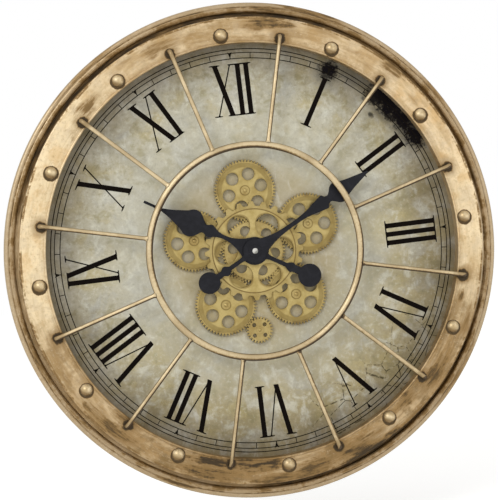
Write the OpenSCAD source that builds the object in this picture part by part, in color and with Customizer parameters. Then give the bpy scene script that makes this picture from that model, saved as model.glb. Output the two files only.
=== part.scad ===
// Round metal wall clock with an open gear train, an in-front spoke cage and quartz works.
// Every piece is drawn face-on (X right, Y up, Z out from the wall, dial axis at 0,0) and then
// hung on the wall: the finished clock faces -Y, +Z is up, and the origin is the centre of the
// hanging hole on the wall plane. All sizes are millimetres.

/* [Case] */
// outer radius of the rim bead
case_r = 300; // [296:1:306]
// thickness of the formed steel sheet
sheet = 1.2; // [1:0.1:1.4]
// height of the crown of the riveted flange above the wall
flange_d = 61; // [59:0.5:62]
// radial width of the riveted flange
flange_w = 31.4; // [28:0.2:33]
// height of the dial face above the wall
dial_d = 46; // [45:0.5:46]
// dial board thickness
dial_t = 3; // [2.5:0.5:3]
// radius of the hanging hole
hang_r = 4; // [3:0.5:5]

/* [Cage] */
// centre line radius of the inner ring
ring_r = 128; // [126:0.5:130]
// thickness radius of the inner ring's rod
ring_rod = 4.2; // [3.2:0.1:4.3]
// thickness radius of a spoke
spoke_rod = 2.6; // [2:0.1:2.8]
// height of the cage rods above the wall
cage_d = 67.8; // [67.8:0.1:69]
// number of spokes, rivets and hours
hours = 12; // [8:1:12]
// turn of the spokes against the dial, degrees clockwise
spoke_twist = -1.5; // [-4:0.1:2]
// turn of the rivets against the dial, degrees clockwise
rivet_twist = -2.2; // [-4:0.1:2]

/* [Hands] */
// rest angle of the hour hand, degrees clockwise from twelve
hour_angle = 300.8; // [0:0.1:359.9]
// rest angle of the minute hand, degrees clockwise from twelve
minute_angle = 62; // [0:0.1:359.9]
// thickness of a hand
hand_t = 0.9; // [0.6:0.1:1]

/* [Gears] */
// gear module
gear_m = 1.25; // [1.2:0.01:1.25]
// teeth of the sun gear, a multiple of five
sun_z = 60; // [60:5:60]
// teeth of a satellite gear
sat_z = 58; // [58:2:60]
// teeth of the drive pinion
pin_z = 24; // [22:2:24]
// circumferential backlash of a gear pair
backlash = 0.36; // [0.3:0.02:0.5]
// angle of the first satellite, degrees clockwise from twelve
sat_angle = -1.6; // [-4:0.1:4]
// outer radius of the cover wheel
cover_r = 60; // [58:0.5:61]

/* [Hidden] */

fn_round = 96;
eps = 0.01;
deep = 20;                 // length of a cutting rod that goes right through a sheet part
hang_y = 262;              // hanging hole above the dial axis

// case: radii from the dial axis, heights from the wall
rim_back = 36;             // rear edge of the rolled bead
bead_r = 3.8;              // outer roll of the bead
bead_c = case_r - bead_r;
bead_d = 45;
roll_r = 3.7;              // inner roll of the bead
roll_c = case_r - 8.7;
roll_d = bead_d + 3;
skirt_out = case_r - 1.4;  // outside of the band behind the rolls
groove_out = case_r - 12.3;
drum_r = groove_out + 2 * sheet; // outside of the drum band, lapped on the rim's inner wall
drum_h = 42.8;
lip_w = 22;             // width of the drum's turned-in back lip
flange_r = case_r - 18;    // outside of the flange's upright wall
flange_in = flange_r - flange_w;
groove_d = dial_d - dial_t;
crown_r = 200;             // radius of the flange's gentle crown
crown_c = flange_in + 0.42 * flange_w;
crown_d = flange_d - crown_r;
edge_r = 1.5;              // rounding of the flange's outer edge
edge_d = flange_d - pow(flange_r - edge_r - crown_c, 2) / 2 / crown_r - edge_r;
lip_r = 1.5;               // half-round lip at the flange's inner edge
lip_c = flange_in + lip_r - 0.2;
lip_d = flange_d - 0.5;
foot_w = 5;                // foot of the flange's inner wall, on the dial
crown_in = lip_c + lip_r + 0.4;          // the crowned sheet between its rolled edges
crown_out = flange_r - 2 * edge_r - 0.4;
shelf_d = crown_d + sqrt(pow(crown_r, 2) - pow(crown_in - crown_c, 2)) - sheet;
rivet_at = flange_in + 10.9;
rivet_b = 7.6;               // base radius of a rivet's dome
rivet_h = 5.2;
rivet_seat = flange_d - 0.35;
rivet_shank = 2.4;
spoke_at = flange_in + 9.1;
spoke_bend = 4.5;          // bend radius of a spoke's end
spoke_foot = flange_d - 4; // height of a spoke's lower end

// dial and its fixings
dial_r = flange_r - sheet - 1.3;
clip_t = 1.2;
clip_w = 16;
clip_in = dial_r - 18;
clip_hole = dial_r - 11;
pilot_r = 1.35;            // pilot hole of a wood screw, and its depth
pilot_h = 2.2;
screw_r = 1.3;
screw_head = [3.2, 1.6];   // radius and height
hanger_t = 2 * sheet;
hanger_w = 64;
hanger_hook = 14;          // plate below the hanging hole
hanger_top = 19;           // and above it
hanger_rivet_r = 1.8;

// quartz works
bush_r = 4;
bush_top = 58.2;
tube_r = 2.5;
arbor_r = 1.5;
run = 0.05;                // radial clearance of a running fit
case_s = 56;               // side of the movement case
case_front = groove_d - 0.6;
case_back = case_front - 16;
cell_y = -17.8;            // the works' cell, below the axis
cell_r = 7.1;
cell_l = 50.4;
bay_gap = 0.4;             // room around a cell in its bay
contact_t = 0.5;
tube_back = case_front - 7.7;
arbor_back = case_front - 11.7;
knob_at = [0, 12];
knob_r = 5.6;
knob_t = 2.8;

// gear train
pressure = 20;             // pressure angle
flank_steps = 4;           // steps along a tooth's flank
sun_p = gear_m * sun_z / 2;
sat_p = gear_m * sat_z / 2;
pin_p = gear_m * pin_z / 2;
sat_c = sun_p + sat_p;
gear_back = dial_d + 1.2;
gear_t = 3;
face_t = 1;
gear_face = gear_back + gear_t + face_t;
disc_t = 2.4;              // thickness of a wheel's disc behind its face plate
sat_web = sat_p - 7.6;     // bore of a satellite's toothed rim
sun_web = sun_p - 4.4;     // bore of the sun's toothed rim
sat_hole = 7.6;
sat_hole_c = 20.4;
sun_hole = 6.5;
sun_hole_c = 25.6;
sun_hub = 13;
sat_hub = 7.5;
cover_d = gear_face + 0.8;
cover_t = 2;
cover_disc = cover_r - 9.4;
cover_step = 0.6;          // raised disc inside the cover wheel's teeth
cover_teeth = 24;
cover_turn = 3.3;          // first tooth
cover_gap = [[-5.6, 2.2], [-5.1, 2.9], [0, 6], [1, 6.6]]; // half widths between two teeth
cover_hole = 14;
cover_hole_c = 34.3;
cover_front = cover_d + cover_t + cover_step;
cover_screw = [1, 1.7, 0.5]; // shank radius, head radius, head height
sleeve_r = 6;
sleeve_front = cover_d + cover_t + 1;
washer_t = 0.6;
post_r = 3;
post_foot = 6.5;           // flange of a satellite's post, on the dial
post_thread = 2;
post_nut = 2.4;
cap_t = 0.9;
cap_gap = 0.35;            // end play of a satellite under its cap
sat_turn = [0, 17, -12, 41, 9]; // turn of each satellite's holes
sun_turn = 43;
drive_sat = 3;             // the satellite that the pinion drives
drive_dir = 133.4;         // direction of the pinion from that satellite, clockwise from up
pin_at = polar(sat_c, sat_angle + 72 * drive_sat) + polar(sat_p + pin_p, drive_dir);
pin_back = drive_dir + 180;
sat_first = gap_at(sat_z, sat_angle + 72 * drive_sat + 180);
sat_phase = (drive_dir - sat_first) * sat_z / 360;
pin_first = gap_at(pin_z, pin_back) + (sat_phase - floor(sat_phase)) * 360 / pin_z;
shaft_r = 2;

// gear motor box
box_s = 62;
box_front = groove_d;
box_back = groove_d - 19;
box_mid = [pin_at[0], pin_at[1] - 15];
box_ears = [82, 12, 2.4];
box_screw = 36;            // screws on each side of the box's middle
box_rows = [-21.5, -5.5];  // the two cells, from the middle of the box
box_bay = cell_r + 0.6;    // axis of those cells in front of the box's back

// hands
hour_d = 58.6;
minute_d = 61;
hub_t = 0.6;               // hub washer on a hand
cap_d = minute_d + hand_t + hub_t;
cap_r = 3.4;

// ---------------------------------------------------------------- helpers

// point at radius r and angle a, clockwise from up
function polar(r, a) = [r * sin(a), r * cos(a)];

// hangs a face-on drawing on the wall
module hang() { translate([0, 0, -hang_y]) rotate([90, 0, 0]) children(); }

// n copies around the axis
module around(n, first = 0) {
  for (k = [0:n - 1]) rotate([0, 0, -(first + 360 * k / n)]) children();
}

module rod(r, h, z = 0) {
  translate([0, 0, z]) cylinder(r = r, h = h, $fn = r > 50 ? 4 * fn_round : fn_round);
}

module tube(r_out, r_in, h, z = 0) {
  difference() {
    rod(r_out, h, z);
    rod(r_in, h + 2, z - 1);
  }
}

// rectangle from corner [x, y] of a ring's section: x is the radius, y the height off the wall
module strip(x, y, w, h) { translate([x, y]) square([w, h]); }

module spun() { rotate_extrude($fn = 180) children(); }

// a round-cornered plate
module plate(w, h, r, t, z) {
  translate([0, 0, z]) linear_extrude(t) {
    square([w - 2 * r, h], center = true);
    square([w, h - 2 * r], center = true);
    for (x = [-1, 1], y = [-1, 1]) translate([x * (w / 2 - r), y * (h / 2 - r)])
      circle(r = r, $fn = 32);
  }
}

// spherical cap of base radius b and height h, standing on height z
module dome(b, h, z) {
  big = (b * b + h * h) / (2 * h);
  intersection() {
    translate([0, 0, z + h - big]) sphere(r = big, $fn = fn_round);
    rod(b + 1, h + 1, z);
  }
}

module hex_nut(across, h, z, bore) {
  difference() {
    translate([0, 0, z]) cylinder(r = across / sqrt(3), h = h, $fn = 6);
    rod(bore, h + 2, z - 1);
  }
}

// bay for a cell lying along X, cut h deep from height z
module cell_bay(y, z, h) {
  translate([-cell_l / 2 - contact_t, y - cell_r - bay_gap, z - 1])
    cube([cell_l + 2 * contact_t, 2 * (cell_r + bay_gap), h + 1]);
}

// spring plates between a bay's end walls and its cell
module bay_contacts(y, z) {
  for (x = [-1, 1]) translate([x * (cell_l + contact_t) / 2 - contact_t / 2, y - 4, z])
    cube([contact_t, 8, 10]);
}

// one dry cell lying along X, with its button on the right
module cell(y, z) {
  translate([-cell_l / 2, y, z]) rotate([0, 90, 0]) {
    cylinder(r = cell_r, h = cell_l - 1.2, $fn = fn_round);
    cylinder(r = 2.7, h = cell_l, $fn = fn_round);
  }
}

// pan-head screw driven towards the front from height z
module screw(length, z) {
  rod(screw_r, length, z);
  rod(screw_head[0], screw_head[1], z - screw_head[1]);
}

// ---------------------------------------------------------------- gear teeth

function inv(a) = (tan(a) - a * PI / 180) * 180 / PI;
function roll_angle(base, r) = r <= base ? 0 : acos(base / r);
// half the angle a tooth spans at radius r
function half_tooth(z, p, r) = let (base = p * cos(pressure))
  90 / z - backlash / 4 / p * 180 / PI + inv(pressure) - inv(roll_angle(base, r));
function root_of(p) = p - 1.25 * gear_m;
function tip_of(p) = p + gear_m;
function flank_r(p, i) = let (low = max(root_of(p), p * cos(pressure)))
  low + (tip_of(p) - low) * i / flank_steps;
// outline of a spur gear of z teeth, the first tooth's middle at angle first, clockwise from up
function gear_points(z, p, first) = [for (k = [0:z - 1]) let (a = first + 360 * k / z)
  for (s = [0:2 * flank_steps + 3]) let (
    rising = s < flank_steps + 2,
    i = rising ? s - 1 : 2 * flank_steps + 2 - s,
    r = i < 0 ? root_of(p) : flank_r(p, i),
    h = half_tooth(z, p, max(r, flank_r(p, 0))))
  polar(r, a + (rising ? -h : h))];
// turn that puts a tooth gap of a z-toothed wheel at angle a
function gap_at(z, a) = a + 180 / z;

// toothed rim with a many-sided bore
module toothed_rim(z, p, bore, first) {
  translate([0, 0, gear_back]) linear_extrude(gear_t) difference() {
    polygon(gear_points(z, p, first));
    polygon([for (k = [0:71]) polar(bore / cos(2.5), 5 * k)]);
  }
}

// stepped disc that fills a toothed rim: web, face plate, hub boss and six round holes
module wheel_disc(web, face, hub, bore, hole, hole_c, first) {
  difference() {
    union() {
      rod(web - 0.15, disc_t + face_t, gear_face - disc_t - face_t);
      rod(face, face_t, gear_face - face_t);
      rod(hub, gear_face - gear_back, gear_back);
    }
    around(6, first) translate([0, hole_c, 0]) rod(hole, deep, gear_back - 5);
    rod(bore, deep, gear_back - 5);
  }
}

// ---------------------------------------------------------------- case

module case_drum() color([0.45, 0.36, 0.22]) hang() spun()
  strip(drum_r - sheet, 0, sheet, drum_h);

module back_ring() color([0.45, 0.36, 0.22]) hang() difference() {
  spun() strip(drum_r - lip_w, 0, lip_w - sheet, sheet);
  hanger_rivet_places() rod(hanger_rivet_r + 0.1, deep, -deep / 2);
}

// section of the rolled double bead, drawn in by s
module bead_section(s) {
  translate([bead_c, bead_d]) circle(r = bead_r - s, $fn = 48);
  translate([roll_c, roll_d]) circle(r = roll_r - s, $fn = 48);
  strip(groove_out + s, rim_back - 3 * s, skirt_out - groove_out - 2 * s, roll_d - rim_back + 2 * s);
}

module outer_rim() color([0.72, 0.57, 0.34]) hang() spun() difference() {
  bead_section(0);
  bead_section(sheet);
}

module groove_floor() color([0.5, 0.38, 0.22]) hang()
  spun() strip(flange_r, groove_d, groove_out - flange_r, sheet);

// section of the flange's crowned sheet from radius a to radius b
module crown_section(a, b) {
  intersection() {
    difference() {
      translate([crown_c, crown_d]) circle(r = crown_r, $fn = 360);
      translate([crown_c, crown_d]) circle(r = crown_r - sheet, $fn = 360);
    }
    strip(a, flange_d - 2 * edge_r, b - a, 2 * edge_r);
  }
}

// rounded outer edge of the flange with the groove's upright wall
module flange_edge() color([0.72, 0.57, 0.34]) hang() spun() {
  crown_section(crown_out, flange_r - edge_r);
  translate([flange_r - edge_r, edge_d]) circle(r = edge_r, $fn = 32);
  strip(flange_r - sheet, groove_d, sheet, edge_d - groove_d);
}

// rolled inner lip of the flange with the wall and foot that stand on the dial
module flange_wall() color([0.72, 0.57, 0.34]) hang() spun() {
  strip(flange_in, shelf_d, crown_in - flange_in, sheet);
  translate([lip_c, lip_d]) circle(r = lip_r, $fn = 12);
  strip(flange_in, dial_d, sheet, lip_d - lip_r / 3 - dial_d);
  strip(flange_in, dial_d, foot_w, sheet);
}

module rivet_flange() color([0.76, 0.61, 0.38]) hang() difference() {
  spun() crown_section(crown_in, crown_out);
  around(hours, rivet_twist) translate([0, rivet_at, 0]) {
    rod(rivet_shank + 0.1, deep, rivet_seat - deep / 2);
    rod(rivet_b + 0.3, deep, rivet_seat);
  }
  around(hours, 180 / hours + spoke_twist) translate([0, spoke_at, 0])
    rod(spoke_rod + 0.15, deep, spoke_foot - eps);
}

module flange_rivets() color([0.7, 0.54, 0.3]) hang()
  around(hours, rivet_twist) translate([0, rivet_at, 0]) {
    dome(rivet_b, rivet_h, rivet_seat);
    rod(rivet_shank, 2.5, flange_d - 2.5);
    rod(4, 1.2, flange_d - 2.5);
  }

// push-on clips that hold the spokes' ends behind the flange
module spoke_clips() color([0.6, 0.6, 0.58]) hang()
  around(hours, 180 / hours + spoke_twist) translate([0, spoke_at, 0]) {
    tube(5.5, spoke_rod + 0.02, 0.6, flange_d - sheet - 0.9);
    tube(3.6, spoke_rod + 0.02, 1, flange_d - sheet - 1.9);
  }

module dial_board() color([0.7, 0.67, 0.58]) hang() difference() {
  rod(dial_r, dial_t, groove_d);
  rod(bush_r + 0.4, deep, groove_d - 1);
  around(5, sat_angle) translate([0, sat_c, 0]) rod(post_thread + 0.1, deep, groove_d - 1);
  translate(pin_at) rod(shaft_r + 0.6, deep, groove_d - 1);
  around(6, 30) translate([0, clip_hole, 0]) rod(pilot_r, pilot_h, groove_d - eps);
  gear_box_ears() rod(pilot_r, pilot_h, groove_d - eps);
}

// bent clips from the rim's inner wall to the back of the dial
module dial_clips() color([0.5, 0.5, 0.5]) hang() difference() {
  around(6, 30) {
    translate([-clip_w / 2, clip_in, groove_d - clip_t])
      cube([clip_w, groove_out - clip_in + 1, clip_t]);
    translate([-clip_w / 2, groove_out - clip_t - 0.2, rim_back])
      cube([clip_w, clip_t + 1, groove_d - rim_back]);
  }
  around(6, 30) translate([0, clip_hole, 0]) rod(1.7, deep, groove_d - deep / 2);
  tube(drum_r + 9, groove_out, 60);
}

module clip_screws() color([0.75, 0.75, 0.72]) hang()
  around(6, 30) translate([0, clip_hole, 0]) screw(clip_t + 2, groove_d - clip_t);

module hanger_rivet_places() {
  for (x = [-24, 24]) translate([x, hang_y + 13, 0]) children();
}

// plate with the hanging hole, joggled over the drum's back lip
module hanger_plate() color([0.55, 0.55, 0.53]) hang() difference() {
  translate([-hanger_w / 2, hang_y - hanger_hook, 0]) {
    cube([hanger_w, 26, hanger_t]);
    translate([0, 0, sheet]) cube([hanger_w, hanger_hook + hanger_top, hanger_t - sheet]);
  }
  translate([0, hang_y, 0]) rod(hang_r, deep, -deep / 2);
  tube(drum_r + 30, drum_r - lip_w, sheet + 5, -5);
  hanger_rivet_places() rod(hanger_rivet_r + 0.1, deep, -deep / 2);
}

module hanger_rivets() color([0.6, 0.6, 0.58]) hang() hanger_rivet_places() {
  rod(hanger_rivet_r, hanger_t, 0);
  dome(2 * hanger_rivet_r, hanger_rivet_r, hanger_t);
}

// ---------------------------------------------------------------- cage

module ring_torus() {
  translate([0, 0, cage_d]) spun()
    translate([ring_r, 0]) circle(r = ring_rod, $fn = 48);
}

module centre_ring() color([0.85, 0.72, 0.55]) hang() ring_torus();

// rod from the inner ring, bent down into the flange
module spoke() {
  translate([0, ring_r, cage_d]) rotate([-90, 0, 0])
    cylinder(r = spoke_rod, h = spoke_at - spoke_bend - ring_r, $fn = 48);
  translate([0, spoke_at - spoke_bend, cage_d - spoke_bend]) rotate([0, -90, 0])
    rotate_extrude(angle = 90, $fn = 64) translate([spoke_bend, 0])
      circle(r = spoke_rod, $fn = 48);
  translate([0, spoke_at, 0]) rod(spoke_rod, cage_d - spoke_bend - spoke_foot, spoke_foot);
}

module spokes() color([0.82, 0.69, 0.52]) hang() difference() {
  around(hours, 180 / hours + spoke_twist) spoke();
  ring_torus();
}

// ---------------------------------------------------------------- quartz works

module movement_case() color([0.07, 0.07, 0.08]) hang() difference() {
  plate(case_s, case_s, 4, case_front - case_back, case_back);
  cell_bay(cell_y, case_back, 2 * cell_r + bay_gap);
  rod(tube_r + run, deep, tube_back - 0.3);
  rod(arbor_r + run, deep, arbor_back - 0.3);
  translate(knob_at) rod(arbor_r + run, 9, case_back - 1);
  translate(knob_at) rod(knob_r + 1, 1.6, case_back - 1);
}

module movement_gasket() color([0.1, 0.1, 0.1]) hang()
  tube(12, bush_r + 0.3, groove_d - case_front, case_front);

module movement_cell() color([0.2, 0.45, 0.3]) hang()
  cell(cell_y, case_back + cell_r + bay_gap);

module movement_contacts() color([0.8, 0.8, 0.8]) hang() bay_contacts(cell_y, case_back + 3);

module threaded_bush() color([0.8, 0.66, 0.32]) hang()
  tube(bush_r, tube_r + run, bush_top - case_front, case_front);

module set_knob() color([0.12, 0.12, 0.12]) hang() translate(knob_at) {
  rod(arbor_r, 6, case_back - 0.6);
  difference() {
    rod(knob_r, knob_t, case_back - 0.6 - knob_t);
    around(16) translate([0, knob_r + 0.3, 0]) rod(0.6, 9, case_back - 6);
  }
}

module hour_tube() color([0.85, 0.85, 0.82]) hang()
  tube(tube_r, arbor_r + run, hour_d + hand_t + hub_t - tube_back, tube_back);

module minute_arbor() color([0.78, 0.65, 0.32]) hang() {
  rod(arbor_r, minute_d + hand_t - arbor_back, arbor_back);
  rod(1.1, 2.2, minute_d + hand_t);
}

// fixed sleeve that the sun gear turns on
module sun_sleeve() color([0.75, 0.6, 0.3]) hang() {
  tube(sleeve_r, bush_r + 0.05, sleeve_front - dial_d, dial_d);
  tube(9, sleeve_r - 0.5, 0.9, dial_d);
}

module bush_washer() color([0.6, 0.6, 0.58]) hang()
  tube(7.2, bush_r + 0.05, washer_t, sleeve_front);

module bush_nut() color([0.78, 0.64, 0.3]) hang()
  hex_nut(12, 2.2, sleeve_front + washer_t, bush_r + 0.03);

// ---------------------------------------------------------------- hands

// smooth run of points through a list of [distance, half width] stations
function curve_point(p, i, t) = let (
    a = p[max(i - 1, 0)], b = p[i], c = p[i + 1], d = p[min(i + 2, len(p) - 1)])
  0.5 * (2 * b + (c - a) * t + (2 * a - 5 * b + 4 * c - d) * t * t
    + (3 * b - a - 3 * c + d) * t * t * t);
function smooth(p) = concat([for (i = [0:len(p) - 2]) for (t = [0:0.25:0.75])
  curve_point(p, i, t)], [p[len(p) - 1]]);
// hollow flare that narrows from the hub to half width arm at distance l
function flare(wide, arm, l, power) = [for (k = [2:10]) let (x = k / 10)
  [l * x, arm + (wide - arm) * pow(1 - x, power)]];
// closed outline from the half widths on one side
function both_sides(p) = concat([for (q = p) [q[1], q[0]]],
  [for (k = [len(p) - 1:-1:0]) [-p[k][1], p[k][0]]]);

hour_blade = concat(flare(22, 2.4, 40, 2),
  [[44, 2.5], [49, 3.5], [53, 5], [56, 6.8], [58.5, 8], [61, 7.8], [63.5, 6.2], [66, 5.4]],
  smooth([[68.5, 5.8], [72, 10], [75, 13.2], [79, 15.9], [83, 16.7], [86, 16.4], [89, 15.2],
    [93, 12.4]]),
  [[98, 10.2], [104, 7.8], [110, 5.5], [116, 3.6], [122, 2.1], [122.3, 1.7], [146, 1.6],
    [146.4, 1]]);
minute_blade = concat(flare(14.5, 2.9, 46, 1.9), [[54, 2.6], [66, 2.75], [74, 3.3], [79, 4]],
  smooth([[83, 4.7], [90, 6.3], [97, 7.9], [103, 9.1]]),
  [[104.5, 8.7], [106.5, 5.4], [109.5, 4.3]],
  smooth([[111.5, 4.6], [115, 7.7], [118, 10.9], [121.5, 12.9], [125, 13.4], [128, 12.6],
    [133, 10.1], [141, 7.5], [150, 5.3], [160, 3], [168, 0.9]]));
hour_tail = concat(flare(14, 2.4, 26, 2.3),
  [[42, 2.6], [46.5, 5.4], [49.5, 6.2], [52.5, 4.5], [61, 4.7]]);
minute_tail = concat(flare(13, 2.5, 24, 2.3),
  [[36.5, 2.6], [41, 6], [44, 6.2], [47.5, 3.6], [56, 4]]);

// blade, tail with its counterweight disc, and hub, cut from sheet
module hand(blade, tail, disc_at, disc_r, hub, bore, z) {
  translate([0, 0, z]) linear_extrude(hand_t) difference() {
    union() {
      polygon(both_sides(blade));
      rotate(180) polygon(both_sides(tail));
      translate([0, -disc_at]) circle(r = disc_r, $fn = 64);
      circle(r = hub, $fn = 96);
    }
    circle(r = bore, $fn = 48);
  }
}

module hour_hand() color([0.13, 0.13, 0.17]) hang() rotate([0, 0, -hour_angle]) {
  hand(hour_blade, hour_tail, 73.4, 14.2, 16.9, tube_r + 0.02, hour_d);
  tube(5, tube_r + 0.02, hub_t + 0.1, hour_d + hand_t);
}

module minute_hand() color([0.13, 0.13, 0.17]) hang() rotate([0, 0, -minute_angle]) {
  hand(minute_blade, minute_tail, 67.2, 13.2, 14.4, arbor_r + 0.02, minute_d);
  tube(7.5, arbor_r + 0.02, hub_t, minute_d + hand_t);
}

module hand_cap() color([0.93, 0.92, 0.9]) hang() difference() {
  union() {
    rod(cap_r, 0.8, cap_d);
    dome(cap_r, 1.2, cap_d + 0.8);
  }
  rod(1.15, 1.7, cap_d - eps);
}

// ---------------------------------------------------------------- gear train

module sun_rim() color([0.62, 0.53, 0.3]) hang() toothed_rim(sun_z, sun_p, sun_web, sat_angle);

module sun_disc() color([0.78, 0.68, 0.4]) hang() difference() {
  wheel_disc(sun_web, sun_p - 2.2, sun_hub, sleeve_r + run, sun_hole, sun_hole_c, sun_turn);
  cover_screw_places() rod(cover_screw[0] + 0.1, deep, gear_face - 3);
}

module cover_screw_places() around(3) translate([0, 9.6, 0]) children();

module cover_wheel() color([0.8, 0.7, 0.4]) hang() difference() {
  union() {
    difference() {
      rod(cover_r, cover_t, cover_d);
      around(cover_teeth, cover_turn + 180 / cover_teeth) translate([0, cover_r, cover_d - 2])
        linear_extrude(deep) polygon(both_sides(cover_gap));
    }
    rod(cover_disc, cover_step, cover_d + cover_t);
    rod(sun_hub - 2, cover_d - gear_face, gear_face);
  }
  around(6, cover_turn + 30) translate([0, cover_hole_c, 0]) rod(cover_hole, deep, cover_d - 2);
  rod(sleeve_r + 0.3, deep, gear_face - 1);
  cover_screw_places() rod(cover_screw[0] + 0.1, deep, gear_face - 1);
}

module cover_screws() color([0.7, 0.6, 0.34]) hang() cover_screw_places() {
  rod(cover_screw[0], cover_front - gear_face + 2.8, gear_face - 2.8);
  rod(cover_screw[1], cover_screw[2], cover_front);
}

module sat_rim(k) color([0.6, 0.52, 0.3]) hang() translate(polar(sat_c, sat_angle + 72 * k))
  toothed_rim(sat_z, sat_p, sat_web, gap_at(sat_z, sat_angle + 72 * k + 180));

module sat_disc(k) color([0.79, 0.69, 0.4]) hang() translate(polar(sat_c, sat_angle + 72 * k))
  wheel_disc(sat_web, sat_p - 3.4, sat_hub, post_r + run, sat_hole, sat_hole_c, 18 + sat_turn[k]);

module satellite_rim_1() sat_rim(0);
module satellite_rim_2() sat_rim(1);
module satellite_rim_3() sat_rim(2);
module satellite_rim_4() sat_rim(3);
module satellite_rim_5() sat_rim(4);
module satellite_disc_1() sat_disc(0);
module satellite_disc_2() sat_disc(1);
module satellite_disc_3() sat_disc(2);
module satellite_disc_4() sat_disc(3);
module satellite_disc_5() sat_disc(4);

module gear_posts() color([0.72, 0.6, 0.32]) hang()
  around(5, sat_angle) translate([0, sat_c, 0]) {
    rod(post_thread, dial_t + 3.9, groove_d - 3.4);
    rod(post_foot, 0.9, dial_d);
    rod(post_r, gear_face + cap_gap - dial_d - 0.4, dial_d + 0.4);
  }

module post_caps() color([0.82, 0.71, 0.4]) hang()
  around(5, sat_angle) translate([0, sat_c, 0]) {
    rod(5.2, cap_t, gear_face + cap_gap);
    dome(2.6, 1.3, gear_face + cap_gap + cap_t);
  }

module post_nuts() color([0.6, 0.6, 0.58]) hang()
  around(5, sat_angle) translate([0, sat_c, 0])
    hex_nut(7, post_nut, groove_d - post_nut, post_thread + 0.03);

module drive_pinion() color([0.74, 0.64, 0.38]) hang() translate(pin_at) difference() {
  translate([0, 0, gear_back]) linear_extrude(gear_t + face_t)
    polygon(gear_points(pin_z, pin_p, pin_first));
  rod(shaft_r + 0.03, deep, gear_back - 5);
  around(4, 48) translate([0, 9, 0]) rod(2.5, deep, gear_back - 5);
}

module pinion_cap() color([0.82, 0.71, 0.4]) hang() translate(pin_at) {
  rod(4.4, cap_t, gear_face);
  dome(2.2, 1, gear_face + cap_t);
}

module drive_shaft() color([0.8, 0.8, 0.78]) hang() translate(pin_at)
  rod(shaft_r, gear_face - box_back - 4, box_back + 4);

// ---------------------------------------------------------------- gear motor box

module gear_box_ears() {
  for (x = [-1, 1]) translate([box_mid[0] + box_screw * x, box_mid[1], 0]) children();
}

module gear_box() color([0.08, 0.08, 0.09]) hang() difference() {
  translate(box_mid) {
    plate(box_s, box_s, 3, box_front - box_back, box_back);
    plate(box_ears[0], box_ears[1], 3, box_ears[2], box_front - box_ears[2]);
  }
  for (y = box_rows) translate(box_mid) cell_bay(y, box_back, cell_r + box_bay);
  translate(pin_at) rod(shaft_r + run, 30, box_back + 3.6);
  gear_box_ears() rod(1.7, deep, box_front - deep / 2);
}

module gear_box_cells() color([0.2, 0.45, 0.3]) hang() translate(box_mid) {
  cell(box_rows[0], box_back + box_bay);
  rotate(180) cell(-box_rows[1], box_back + box_bay);
}

module gear_box_contacts() color([0.8, 0.8, 0.8]) hang() translate(box_mid)
  for (y = box_rows) bay_contacts(y, box_back + 3);

module gear_box_screws() color([0.75, 0.75, 0.72]) hang() gear_box_ears()
  screw(box_ears[2] + 2, box_front - box_ears[2]);

// ---------------------------------------------------------------- assembly

case_drum();
back_ring();
outer_rim();
groove_floor();
flange_edge();
rivet_flange();
flange_wall();
flange_rivets();
centre_ring();
spokes();
spoke_clips();
dial_board();
dial_clips();
clip_screws();
hanger_plate();
hanger_rivets();
movement_case();
movement_gasket();
movement_cell();
movement_contacts();
threaded_bush();
set_knob();
hour_tube();
minute_arbor();
hour_hand();
minute_hand();
hand_cap();
sun_sleeve();
bush_washer();
bush_nut();
sun_rim();
sun_disc();
cover_wheel();
cover_screws();
satellite_rim_1();
satellite_rim_2();
satellite_rim_3();
satellite_rim_4();
satellite_rim_5();
satellite_disc_1();
satellite_disc_2();
satellite_disc_3();
satellite_disc_4();
satellite_disc_5();
gear_posts();
post_caps();
post_nuts();
drive_pinion();
pinion_cap();
drive_shaft();
gear_box();
gear_box_cells();
gear_box_contacts();
gear_box_screws();
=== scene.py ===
import math

import bmesh
import bpy
from mathutils import Matrix, Vector

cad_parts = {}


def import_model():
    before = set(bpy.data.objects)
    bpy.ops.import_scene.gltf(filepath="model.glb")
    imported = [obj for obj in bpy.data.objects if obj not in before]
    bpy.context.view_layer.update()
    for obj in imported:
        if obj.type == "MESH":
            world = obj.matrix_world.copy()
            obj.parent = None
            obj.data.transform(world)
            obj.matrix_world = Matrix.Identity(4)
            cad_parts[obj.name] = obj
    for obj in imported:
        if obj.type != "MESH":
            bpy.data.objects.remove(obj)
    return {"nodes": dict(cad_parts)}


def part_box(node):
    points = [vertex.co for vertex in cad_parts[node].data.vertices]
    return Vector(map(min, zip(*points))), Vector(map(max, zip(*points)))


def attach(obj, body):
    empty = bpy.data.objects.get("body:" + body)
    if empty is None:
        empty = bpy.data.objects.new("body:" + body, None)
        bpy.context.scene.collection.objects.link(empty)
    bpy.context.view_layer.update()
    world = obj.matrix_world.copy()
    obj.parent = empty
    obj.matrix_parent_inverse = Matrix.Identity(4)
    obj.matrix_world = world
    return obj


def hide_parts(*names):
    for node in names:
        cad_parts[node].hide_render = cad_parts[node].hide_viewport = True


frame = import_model()

# Wall clock with an open gear train. Meshes are drawn face-on in millimetres: X right, Y up,
# Z off the wall, dial axis at the origin. finish_mesh() turns them into the frame's metres.

MM = 0.001
ROUND = 288          # steps round the big rings


def centre_of(node):
    """Middle of a node's box, in the frame."""
    low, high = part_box(node)
    return (low + high) / 2


def face(point):
    """A point of the frame, seen face-on, in millimetres."""
    return Vector((point.x, point.z - AXIS, -point.y)) / MM


AXIS = centre_of("centre_ring").z
FACE_TO_FRAME = (Matrix.Translation((0, 0, AXIS)) @ Matrix.Rotation(math.pi / 2, 4, "X")
                 @ Matrix.Scale(MM, 4))


def reach(node):
    """Outer radius of a node that is centred on the dial axis, in millimetres."""
    low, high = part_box(node)
    return (high.x - low.x) / 2 / MM


def front(node):
    """Height off the wall of a node's front, in millimetres."""
    return -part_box(node)[0].y / MM


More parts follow.
